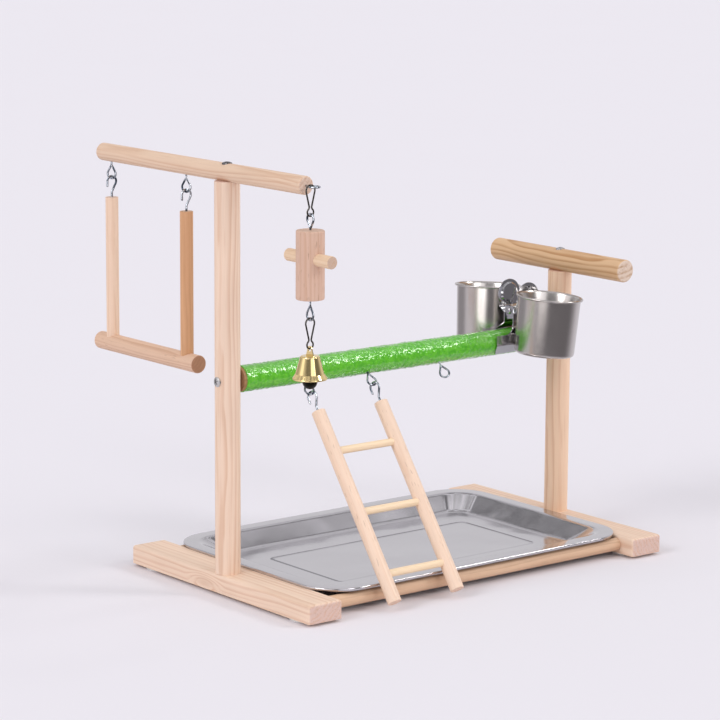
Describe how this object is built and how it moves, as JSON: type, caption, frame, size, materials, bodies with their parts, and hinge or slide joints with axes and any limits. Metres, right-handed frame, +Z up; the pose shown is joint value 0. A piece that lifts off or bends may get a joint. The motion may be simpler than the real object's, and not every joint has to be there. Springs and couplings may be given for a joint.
{
  "type": "parrot play stand",
  "caption": "Tabletop wooden parrot play stand with coated crossbar, top perches, hanging swing, leaning ladder, bell toy, clip-on feeder cups and a steel drip tray.",
  "frame": {"origin": "on the surface the stand rests on, under the middle of the whole stand's bounding box, 2 mm left of and 29 mm behind the middle of its feet", "axes": "+X along the crossbar from the tall post to the short post, +Y to the rear (away from the bell and the ladder's foot), +Z up"},
  "size_m": [0.4699, 0.3884, 0.427],
  "materials": {
    "pine": "sanded pine, clear sealed",
    "rail_wood": "sanded dowel",
    "perch_wood": "sanded pine dowel",
    "crossbar_wood": "sanded dowel",
    "grip_green": "lumpy grit-filled green coating, semi gloss",
    "pad_rubber": "soft pale pad",
    "screw_black": "blackened pan-head screw",
    "screw_steel": "bright plated pan-head screw",
    "zinc_wire": "bright zinc plated wire",
    "swing_upright_wood": "orange tan dowel",
    "swing_bar_wood": "red brown dowel",
    "ladder_wood": "beech dowel with small dark flecks",
    "rung_wood": "pale dowel",
    "block_wood": "pinkish pine dowel",
    "cross_dowel_wood": "yellowish dowel",
    "clip_steel": "dark bright spring wire",
    "bell_brass": "polished brass",
    "clapper_black": "black enamelled iron",
    "tray_steel": "polished pressed steel",
    "clamp_steel": "bright plated sheet",
    "spring_steel": "spring wire",
    "cup_steel": "satin drawn steel"
  },
  "bodies": {
    "stand": {"left_foot_beam": "pine", "right_foot_beam": "pine", "front_rail": "rail_wood", "rear_rail": "rail_wood", "foot_pads": "pad_rubber", "base_screws": "screw_black", "left_post": "pine", "right_post": "pine", "upper_perch": "perch_wood", "low_perch": "perch_wood", "upper_perch_screw": "screw_black", "low_perch_screw": "screw_steel", "crossbar": "crossbar_wood", "crossbar_grip": "grip_green", "crossbar_screws": "screw_black", "swing_eyes": "zinc_wire", "ladder_eyes": "zinc_wire", "spare_eye": "zinc_wire", "toy_eye": "zinc_wire"},
    "swing": {"swing_hooks": "zinc_wire", "swing_front_upright": "swing_upright_wood", "swing_rear_upright": "swing_upright_wood", "swing_bar": "swing_bar_wood"},
    "ladder": {"ladder_hooks": "zinc_wire", "ladder_left_rail": "ladder_wood", "ladder_right_rail": "ladder_wood", "ladder_rungs": "rung_wood"},
    "tray": {"tray": "tray_steel"},
    "upper_clip": {"upper_clip": "clip_steel"},
    "toy_block": {"block_top_eye": "zinc_wire", "toy_block": "block_wood", "cross_dowel": "cross_dowel_wood", "block_bottom_eye": "zinc_wire"},
    "lower_clip": {"lower_clip": "clip_steel"},
    "bell": {"bell_strap": "bell_brass", "bell_shell": "bell_brass", "bell_staple": "clip_steel"},
    "clapper": {"clapper": "clapper_black"},
    "clamp": {"clamp_pin": "clamp_steel", "clamp_spring": "spring_steel"},
    "front_jaw": {"front_jaw": "clamp_steel", "front_spring_arm": "spring_steel", "front_cup": "cup_steel"},
    "rear_jaw": {"rear_jaw": "clamp_steel", "rear_spring_arm": "spring_steel", "rear_cup": "cup_steel"}
  },
  "joints": [
    {"name": "swing_hinge", "type": "hinge", "parent": "stand", "child": "swing", "pos_m": [-0.21522, 0.10773, 0.3906], "axis": [0, 1, 0], "range_deg": [-60, 60]},
    {"name": "ladder_hinge", "type": "hinge", "parent": "stand", "child": "ladder", "pos_m": [-0.08758, -0.04385, 0.19222], "axis": [-1, 0, 0], "range_deg": [0, 50]},
    {"name": "tray_lift", "type": "slide", "parent": "stand", "child": "tray", "axis": [0, 0.6428, 0.766], "range_m": [0, 0.08]},
    {"name": "upper_clip_hinge", "type": "hinge", "parent": "stand", "child": "upper_clip", "pos_m": [-0.21998, -0.16123, 0.4167], "axis": [0, 1, 0], "range_deg": [-40, 40]},
    {"name": "block_hinge", "type": "hinge", "parent": "upper_clip", "child": "toy_block", "pos_m": [-0.21998, -0.16123, 0.38995], "axis": [1, 0, 0], "range_deg": [-40, 40]},
    {"name": "lower_clip_hinge", "type": "hinge", "parent": "toy_block", "child": "lower_clip", "pos_m": [-0.21998, -0.16123, 0.2924], "axis": [0, 1, 0], "range_deg": [-40, 40]},
    {"name": "bell_hinge", "type": "hinge", "parent": "lower_clip", "child": "bell", "pos_m": [-0.21998, -0.16123, 0.26565], "axis": [1, 0, 0], "range_deg": [-40, 40]},
    {"name": "clapper_hinge", "type": "hinge", "parent": "bell", "child": "clapper", "pos_m": [-0.21998, -0.16123, 0.2545], "axis": [0, 1, 0], "range_deg": [-18, 18]},
    {"name": "clamp_slide", "type": "slide", "parent": "stand", "child": "clamp", "axis": [1, 0, 0], "range_m": [-0.06, 0.003]},
    {"name": "front_jaw_squeeze", "type": "hinge", "parent": "clamp", "child": "front_jaw", "pos_m": [0.16118, -0.02477, 0.2448], "axis": [-1, 0, 0], "range_deg": [0, 20], "stiffness_Nm_per_rad": 0.6, "springref_deg": -28.65},
    {"name": "rear_jaw_squeeze", "type": "hinge", "parent": "clamp", "child": "rear_jaw", "pos_m": [0.16118, -0.02477, 0.2448], "axis": [1, 0, 0], "range_deg": [0, 20], "stiffness_Nm_per_rad": 0.6, "springref_deg": -28.65}
  ],
  "couplings": [
    {"joint": "rear_jaw_squeeze", "follows": "front_jaw_squeeze", "ratio": 1}
  ]
}
